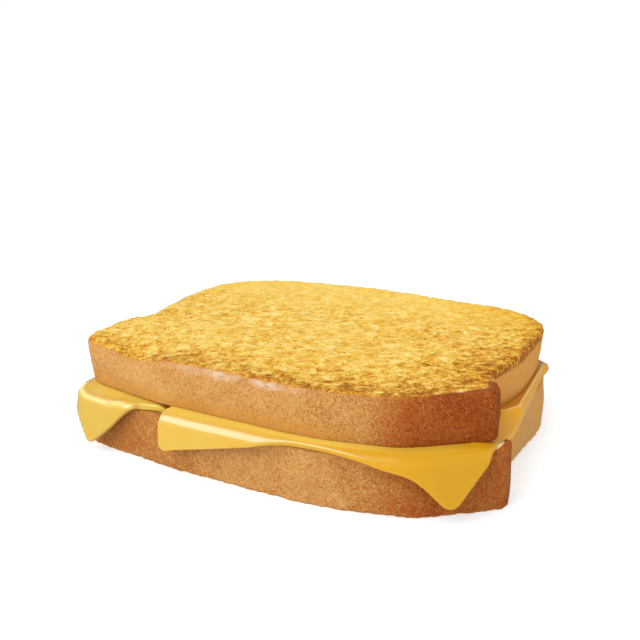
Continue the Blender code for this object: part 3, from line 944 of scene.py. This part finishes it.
@dataclass
class CheeseSquare:
    """Square of soft cheese that lies on what is below it and folds over the rim."""

    name: str
    node: str
    corners: Sequence[Corner]
    rest_height: Callable[[Points], Points]
    fold: FoldLine
    shift: Points
    finish: CheeseFinish
    seed: int
    depth: tuple[float, float]
    thickness: float = 2.0 * MM
    edge_radius: float = 0.65 * MM
    around: int = 560
    edge_rings: int = 5
    hang_rings: int = 26
    flat_rings: tuple[float, ...] = (0.05, 0.12, 0.25, 0.45, 0.7)
    wave: float = 0.3 * MM
    painted_fill: float = 1.0
    # Strength of the painted highlight line along the fold.
    painted_fold_highlight: float = 0.0
    crease: SideCrease | None = None

    def laid(self, plan: Points, offset: Points | float) -> Points:
        """Places in the draped sheet.

        Args:
            plan: points of the sheet laid out flat.
            offset: height above the sheet's under face.

        Returns:
            The same points after draping, one row each.
        """
        foot, side, distance = self.fold.nearest(plan)
        run = np.maximum(distance - self.fold.start, 0)
        hanging = run > 0
        bed = self.rest_height(np.where(hanging[:, None], foot + side * self.fold.start, plan))
        droop = self.fold.droop(side)
        radius = self.fold.bend(side)
        slope = np.minimum(run / radius, droop)
        straight = np.maximum(run - radius * droop, 0)
        out = radius * np.sin(slope) + straight * np.cos(droop)
        down = radius * (1 - np.cos(slope)) + straight * np.sin(droop)
        bent = foot + side * (self.fold.start + out)[:, None]
        flat = np.where(hanging[:, None], bent, plan)
        if self.crease is not None:
            down = down + self.crease.down(flat)
        normal = np.column_stack([side * np.sin(slope)[:, None], np.cos(slope)])
        sheet = np.column_stack([plan, np.zeros(len(plan))])
        waves = Unevenness(13 * MM, self.seed, 2).at(sheet) * self.wave * ease(run, 0, 5 * MM)
        return np.column_stack([flat, bed - down]) + normal * (offset + waves)[:, None]

    def build(self) -> bpy.types.Object:
        """Shape the sheet and dress it in its finish.

        Returns:
            The finished piece, riding on the sandwich's one body.
        """
        curve = rounded(self.corners, 0.3 * MM)
        outline = softened(spaced(curve, np.linspace(0, along_curve(curve)[-1], self.around, endpoint=False)), 1)
        middle = (outline.min(axis=0) + outline.max(axis=0)) / 2
        reach = np.linalg.norm(middle - outline, axis=1)

        def drawn_in(inset: Points | float) -> Points:
            """Outline drawn in towards the middle."""
            return outline + (middle - outline) * (inset / reach)[:, None]

        _, _, outside = self.fold.nearest(outline)
        band = np.maximum(outside - self.fold.start, 0) * 1.15 + 5 * MM
        radius = self.edge_radius
        insets = [np.full(self.around, radius * (1 - math.sin(angle)))
                  for angle in np.linspace(math.pi / 2, 0, self.edge_rings)]
        offsets = [radius * (1 - math.cos(angle)) for angle in np.linspace(math.pi / 2, 0, self.edge_rings)]
        insets += [radius + (band - radius) * share for share in np.linspace(0, 1, self.hang_rings + 1)[1:]]
        insets += [band + (reach - band) * share for share in self.flat_rings]
        offsets += [0.0] * (self.hang_rings + len(self.flat_rings))
        upper = [self.laid(drawn_in(inset), self.thickness - offset) for inset, offset in zip(insets, offsets)]
        under = [self.laid(drawn_in(inset), offset + 0.0) for inset, offset in zip(insets, offsets)]
        rings = under[::-1] + upper
        low = self.laid(middle[None, :], np.zeros(1))
        high = self.laid(middle[None, :], np.full(1, self.thickness))
        points = np.vstack(rings + [low, high])
        faces = []
        for index in range(len(rings) - 1):
            faces += ring_faces(index * self.around, (index + 1) * self.around, self.around)
        total = len(rings) * self.around
        faces += [face[::-1] for face in fan_faces(0, total, self.around)]
        faces += fan_faces(total - self.around, total + 1, self.around)
        # Pale to the left, deeper to the right: partly the cheese's own tone over the dark crust, partly painted bounce
        # light from the crust.
        depth = 0.5 * ease(points[:, 0], *self.depth)
        _, side, distance = self.fold.nearest(np.vstack([drawn_in(inset) for inset in insets]))
        mid_fold = self.fold.start + 0.5 * self.fold.bend(side) * self.fold.droop(side)
        # Painted highlight: a thin light line along the middle of the fold.
        line = np.zeros(len(points))
        line[total // 2:total] = self.painted_fold_highlight * np.exp(-((distance - mid_fold) / (0.24 * MM)) ** 2)
        _, _, outside = self.fold.nearest(points[:, :2])
        # Painted fill light: the flat cheese inside the fold, in the upper slice's shade, is painted lighter, less so
        # towards the right.
        painted_fill = self.painted_fill * (1 - ease(outside, -0.5 * MM, 1.2 * MM)) * (1 - 0.6 * ease(points[:, 0], 25 * MM, 50 * MM))
        # Painted bounce light: the cheese more than about 3 mm inside the fold line, under the upper slice, is painted
        # warmer orange.
        painted_warm_fill = 0.8 * (1 - ease(outside, -5.5 * MM, -3 * MM))
        if self.crease is not None:
            beyond = points[:, 0] - self.crease.place(points)
            beside = ease(points[:, 1], -38 * MM, -30 * MM)
            inside = (1 - ease(beyond, -1.2 * MM, -0.3 * MM)) * (1 - ease(points[:, 1], 20 * MM, 32 * MM))
            # Painted shade: the cheese under the upper slice's right overhang, inside the crease, is painted dark
            # orange.
            depth += 0.5 * beside * ease(points[:, 0], 54 * MM, 58 * MM) * inside
            # Painted highlight: a thin light line along the right crease.
            line = np.maximum(line, 0.8 * beside * np.exp(-(beyond / (0.27 * MM)) ** 2))
            # No painted fill light on the right side, from the crown's shoulder back.
            painted_fill = painted_fill * (1 - ease(points[:, 0], 54 * MM, 60 * MM) * ease(points[:, 1], -46 * MM, -38 * MM))
            # The painted bounce light under the crust stays only at the front; further back it is painted on the slope
            # beyond the right crease instead.
            painted_warm_fill = painted_warm_fill * (1 - beside)
            painted_warm_fill += ease(points[:, 1], -42 * MM, -34 * MM) * ease(beyond, 0.0, 0.5 * MM) * (1 - painted_warm_fill)
        points[:, :2] += self.shift
        points[:, 2] = np.maximum(points[:, 2], 0.2 * MM)
        values = {"depth": depth, "painted_fill": painted_fill, "painted_warm_fill": painted_warm_fill, "line": line}
        piece = mesh_piece(self.name, points, faces, values, self.finish.material())
        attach(piece, BODY)
        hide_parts(self.node)
        return piece


@dataclass
class Sandwich:
    """The whole sandwich, from the bottom slice up."""

    lower_foot: LoafShape = field(default_factory=LoafShape.lower_foot)
    upper_foot: LoafShape = field(default_factory=LoafShape.upper_foot)
    fold_shape: LoafShape = field(default_factory=LoafShape.fold)
    upper_rim: LoafShape = field(default_factory=LoafShape.rim)
    lower_thickness: float = 16.5 * MM
    upper_thickness: float = 13.0 * MM
    lower_shift: tuple[float, float] = (3.6 * MM, -2.6 * MM)
    lower_turn: float = math.radians(1.3)
    gap: float = 0.3 * MM
    settle_depth: float = 0.2 * MM
    press_depth: float = 1.7 * MM
    press_fade: float = 9.0 * MM
    press_left: float = -64.0 * MM
    press_deeper: tuple[float, float] = (-30.5 * MM, -50.0 * MM)
    press_width: float = 4.5 * MM
    slump_depth: float = 1.1 * MM
    slump_reach: float = 5.5 * MM
    press_slant: float = 0.4
    press_right: float = 38.0 * MM
    press_back: float = 47.0 * MM
    bed_gap: float = 0.1 * MM
    shoulder: tuple[float, float] = (71.0 * MM, -33.0 * MM)
    shoulder_rise: float = 3.2 * MM
    shoulder_reach: float = 3.4 * MM
    upper_sag: float = 0.4 * MM
    upper_corner_sag: float = 0.75 * MM

    def shift(self) -> Points:
        """From the loaf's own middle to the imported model's frame."""
        low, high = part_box("bread_top")
        left, front, right, back = (-65.5 * MM, -52.45 * MM, 66.0 * MM, 57.5 * MM)
        return np.array([(low.x + high.x - left - right) / 2, (low.y + high.y - front - back) / 2])

    def pressed(self, points: Points) -> Points:
        """How deep the cheese presses into the lower slice at places measured from the loaf's middle."""
        x = points[:, 0]
        y = points[:, 1]
        depth = self.settle_depth * ease(x, self.press_left, self.press_left + self.press_fade)
        slanted = x - self.press_deeper[0] + self.press_slant * (y - self.press_deeper[1])
        depth = depth + (self.press_depth - self.settle_depth) * ease(slanted, 0, self.press_width)
        depth = depth * (1 - ease(x, self.press_right, self.press_right + self.press_fade))
        _, _, outside = self.fold(1.0 * MM).nearest(points)
        uncovered = ease(outside, -5 * MM, -1.5 * MM) * ease(x, -27 * MM, -22 * MM) * (y < 0)
        depth = depth * (1 - 0.9 * uncovered)
        return depth * (1 - ease(y, self.press_back, self.press_back + self.press_fade))

    def slumped(self, points: Points) -> Points:
        """How far the lower slice's left front corner gives way towards its rim."""
        _, side, outside = self.fold(1.0 * MM).nearest(points)
        near_rim = ease(outside, -self.slump_reach, 0.5 * MM) * ease(-side[:, 1], 0.5, 0.95)
        return self.slump_depth * near_rim * (1 - ease(points[:, 0], -49 * MM, -40 * MM))

    def lower_top(self, points: Points) -> Points:
        """Depth of the lower slice's crumb face: pressed in, but risen at the free right shoulder."""
        gap = np.linalg.norm(points - np.array(self.shoulder), axis=1)
        rise = self.shoulder_rise * np.exp(-(gap / self.shoulder_reach) ** 2)
        return self.pressed(points) + self.slumped(points) - rise

    def upper_bottom(self, points: Points) -> Points:
        """Depth of the upper slice's crumb face: it sags onto the cheese, most at the left front corner."""
        left = 1 - ease(points[:, 0], -50 * MM, -26 * MM)
        return -self.upper_sag - (self.upper_corner_sag - self.upper_sag) * left

    def lower_slice(self) -> LoafSlice:
        """Slice that lies on its toasted face."""
        low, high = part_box("bread_bottom")
        shift = self.shift()
        return LoafSlice(
            name="lower_slice", node="bread_bottom", facing=Facing.DOWN,
            thickness=high.z - low.z, base=low.z, foot=self.lower_foot, rim=self.lower_foot,
            shift=np.array(self.lower_shift) + shift, turn=self.lower_turn,
            finish=BreadFinish("lower_bread"), seed=300,
            # Browner at the left end of the front: partly toasting, partly painted shade under the hanging cheese.
            front_browning=((-60, 0.56), (-45, 0.52), (-20, 0.38), (0, 0.28), (25, 0.29), (33, 0.38), (46, 0.68)),
            right_browning=-0.10,
            crumb_depth=lambda points: self.lower_top(points - shift), toast_dip=0.15 * MM)

    def upper_slice(self) -> LoafSlice:
        """Slice on top, toasted face up."""
        low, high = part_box("bread_top")
        shift = self.shift()
        return LoafSlice(
            name="upper_slice", node="bread_top", facing=Facing.UP,
            thickness=high.z - low.z, base=low.z, foot=self.upper_foot, rim=self.upper_rim, shift=shift, turn=0.0,
            finish=BreadFinish("upper_bread"), seed=100,
            front_browning=((-62, 0.22), (0, 0.26), (20, 0.30), (33, 0.38), (44, 0.72), (60, 0.82)),
            right_browning=-0.30, wrap_right=2.4 * MM, wrap_corner=0.9 * MM, crown_crust=3.4 * MM, corner_rounding=1.2 * MM, corner_dip=2.4 * MM,
            painted_light=1.0, crumb_rim=0.3 * MM,
            crumb_depth=lambda points: self.upper_bottom(points - shift))

    def fold(self, radius: float, start: float = -0.5 * MM) -> FoldLine:
        """Fold line round the lower slice's rim, measured from the loaf's middle."""
        outline = turned(self.fold_shape.outline(), np.array(self.lower_shift), self.lower_turn)
        lengths = np.arange(0, along_curve(outline)[-1], 1 * MM)
        return FoldLine(softened(spaced(outline, lengths), 3), radius=radius, start=start)

    def lower_cheese(self) -> CheeseSquare:
        """Lower cheese: its front left corner hangs far out."""
        corners = millimetres((-56.8, -61.4, 1.8), (-38, -51.3, 14), (27, -42, 3), (29, 42, 3),
                              (-57, 40, 3), (-62, -18, 30), (-71.7, -39.5, 7))

        def rest(points: Points) -> Points:
            """Height of the under face: on the lower slice, down with its slumped corner."""
            return self.lower_thickness - self.pressed(points) - self.slumped(points) + self.bed_gap

        return CheeseSquare(
            name="lower_cheese", node="cheese_lower", corners=corners, seed=500, rest_height=rest,
            fold=self.fold(1.3 * MM, 0.3 * MM), shift=self.shift(), 
            finish=CheeseFinish("lower_cheese", pale=(0.58, 0.375, 0.056)),
            depth=(-50 * MM, 10 * MM), wave=0.12 * MM, painted_fill=0.4, painted_fold_highlight=1.0, hang_rings=44)

    def upper_cheese(self) -> CheeseSquare:
        """Upper cheese: both its front corners hang down the crust."""
        corners = millimetres((-26.4, -63.2, 2.1), (14, -56, 70), (50, -55.4, 20), (65.2, -57.6, 3.2),
                              (66.7, -38, 14), (68.2, -18, 30), (67.1, 5, 40), (65.5, 36.2, 0.4), (60.5, 41, 5),
                              (-24, 32, 3))
        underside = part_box("bread_top")[0].z - self.gap

        def rest(points: Points) -> Points:
            """Level height over the lower cheese and the rim beside it."""
            return np.full(len(points), underside - 2.0 * MM)

        return CheeseSquare(
            name="upper_cheese", node="cheese_upper", corners=corners, seed=700, rest_height=rest,
            fold=self.fold(2.6 * MM), shift=self.shift(), finish=CheeseFinish("upper_cheese"),
            depth=(-15 * MM, 45 * MM), crease=SideCrease())

    def build(self) -> list[bpy.types.Object]:
        """All pieces, from the bottom up."""
        return [self.lower_slice().build(), self.lower_cheese().build(),
                self.upper_cheese().build(), self.upper_slice().build()]


# Studio -----------------------------------------------------------------------------------------


@dataclass(frozen=True)
class Studio:
    """Pale floor, soft light from the upper left, and the camera."""

    floor_radius: float = 6.0
    floor_colour: Colour = (0.60, 0.65, 0.68)
    sky_strength: float = 0.82
    key_direction: tuple[float, float, float] = (-0.40, -0.60, 0.69)
    key_width: float = math.radians(60)
    key_strength: float = 0.72
    gloss_direction: tuple[float, float, float] = (-0.50, -0.42, 0.76)
    gloss_width: float = math.radians(42)
    gloss_strength: float = 0.8
    edge_direction: tuple[float, float, float] = (-0.834, 0.444, 0.316)
    edge_width: float = math.radians(28)
    edge_strength: float = 0.15
    gloss_colour: Colour = (0.90, 1.0, 1.20)
    glossy_sky: float = 0.3
    floor_glow: float = 0.50
    camera_place: tuple[float, float, float] = (0.11495, -0.25099, 0.11558)
    camera_azimuth: float = math.radians(25.28)
    camera_elevation: float = math.radians(16.16)
    lens: float = 50.17
    sensor: float = 36.0

    def floor(self) -> bpy.types.Object:
        """Large plain disc under the sandwich."""
        bench = NodeBench("studio_floor")
        tone = bench.between(bench.noise(0.4, detail=2), 0.0, 1.0)
        shade = tuple(0.985 * channel for channel in self.floor_colour)
        bench.join(bench.blend(tone, shade, self.floor_colour), bench.shader.inputs["Base Color"])
        bench.shader.inputs["Roughness"].default_value = 0.9
        bench.shader.inputs["Specular IOR Level"].default_value = 0.1
        bench.shader.inputs["Emission Color"].default_value = (1.0, 1.0, 1.0, 1.0)
        bench.shader.inputs["Emission Strength"].default_value = self.floor_glow
        angles = np.linspace(0, 2 * math.pi, 96, endpoint=False)
        rim = np.column_stack([np.cos(angles), np.sin(angles), np.zeros(96)]) * self.floor_radius
        points = np.vstack([rim, [[0.0, 0.0, 0.0]]])
        disc = mesh_piece("studio_floor", points, fan_faces(0, 96, 96), {}, bench.material)
        disc.visible_glossy = False
        return disc

    def sky(self) -> None:
        """White surroundings that light the sandwich softly."""
        world = bpy.data.worlds.new("studio_sky")
        world.use_nodes = True
        tree = world.node_tree
        tree.nodes.clear()
        path = tree.nodes.new("ShaderNodeLightPath")
        output = tree.nodes.new("ShaderNodeOutputWorld")
        shown = None
        for strength, ray in ((self.sky_strength, None), (self.glossy_sky, "Is Glossy Ray"), (1.0, "Is Camera Ray")):
            background = tree.nodes.new("ShaderNodeBackground")
            background.inputs["Color"].default_value = (1.0, 1.0, 1.0, 1.0)
            background.inputs["Strength"].default_value = strength
            if ray is None:
                shown = background.outputs[0]
                continue
            choice = tree.nodes.new("ShaderNodeMixShader")
            tree.links.new(path.outputs[ray], choice.inputs[0])
            tree.links.new(shown, choice.inputs[1])
            tree.links.new(background.outputs[0], choice.inputs[2])
            shown = choice.outputs[0]
        tree.links.new(shown, output.inputs["Surface"])
        bpy.context.scene.world = world

    def lamp(self, name: str, direction: Sequence[float], width: float, strength: float) -> bpy.types.Object:
        """Broad far lamp.

        Args:
            name: name of the lamp.
            direction: where it stands, seen from the sandwich.
            width: angle that it spans.
            strength: light on a surface that faces it.

        Returns:
            The lamp, linked to the scene.
        """
        bulb = bpy.data.lights.new(name, "SUN")
        bulb.angle = width
        bulb.energy = strength * math.pi
        lamp = bpy.data.objects.new(name, bulb)
        lamp.rotation_euler = Vector(direction).normalized().to_track_quat("Z", "Y").to_euler()
        bpy.context.scene.collection.objects.link(lamp)
        return lamp

    def lights(self) -> None:
        """Soft light over the left shoulder, and the panel whose sheen shows on the cheese."""
        key = self.lamp("key", self.key_direction, self.key_width, self.key_strength)
        key.visible_glossy = False
        panel = self.lamp("panel", self.gloss_direction, self.gloss_width, self.gloss_strength)
        edge = self.lamp("edge", self.edge_direction, self.edge_width, self.edge_strength)
        for gloss in (panel, edge):
            gloss.data.color = self.gloss_colour
            gloss.visible_diffuse = False

    def camera(self) -> bpy.types.Object:
        """Camera in front, a little to the right and above."""
        optics = bpy.data.cameras.new("camera")
        optics.lens = self.lens
        optics.sensor_width = self.sensor
        optics.clip_end = 50.0
        camera = bpy.data.objects.new("camera", optics)
        level = math.cos(self.camera_elevation)
        back = Vector((math.sin(self.camera_azimuth) * level, -math.cos(self.camera_azimuth) * level,
                       math.sin(self.camera_elevation)))
        camera.location = self.camera_place
        camera.rotation_euler = (-back).to_track_quat("-Z", "Y").to_euler()
        bpy.context.scene.collection.objects.link(camera)
        bpy.context.scene.camera = camera
        return camera

    def build(self) -> None:
        """Set up everything round the sandwich."""
        self.floor()
        self.sky()
        self.lights()
        self.camera()
        bpy.context.scene.view_settings.view_transform = "Standard"


def main() -> None:
    """Build the sandwich and its studio."""
    logging.basicConfig(level=logging.INFO, format="%(message)s")
    Studio().build()
    for piece in Sandwich().build():
        LOG.info("%s: %d faces", piece.name, len(piece.data.polygons))


if __name__ == "__main__":
    main()
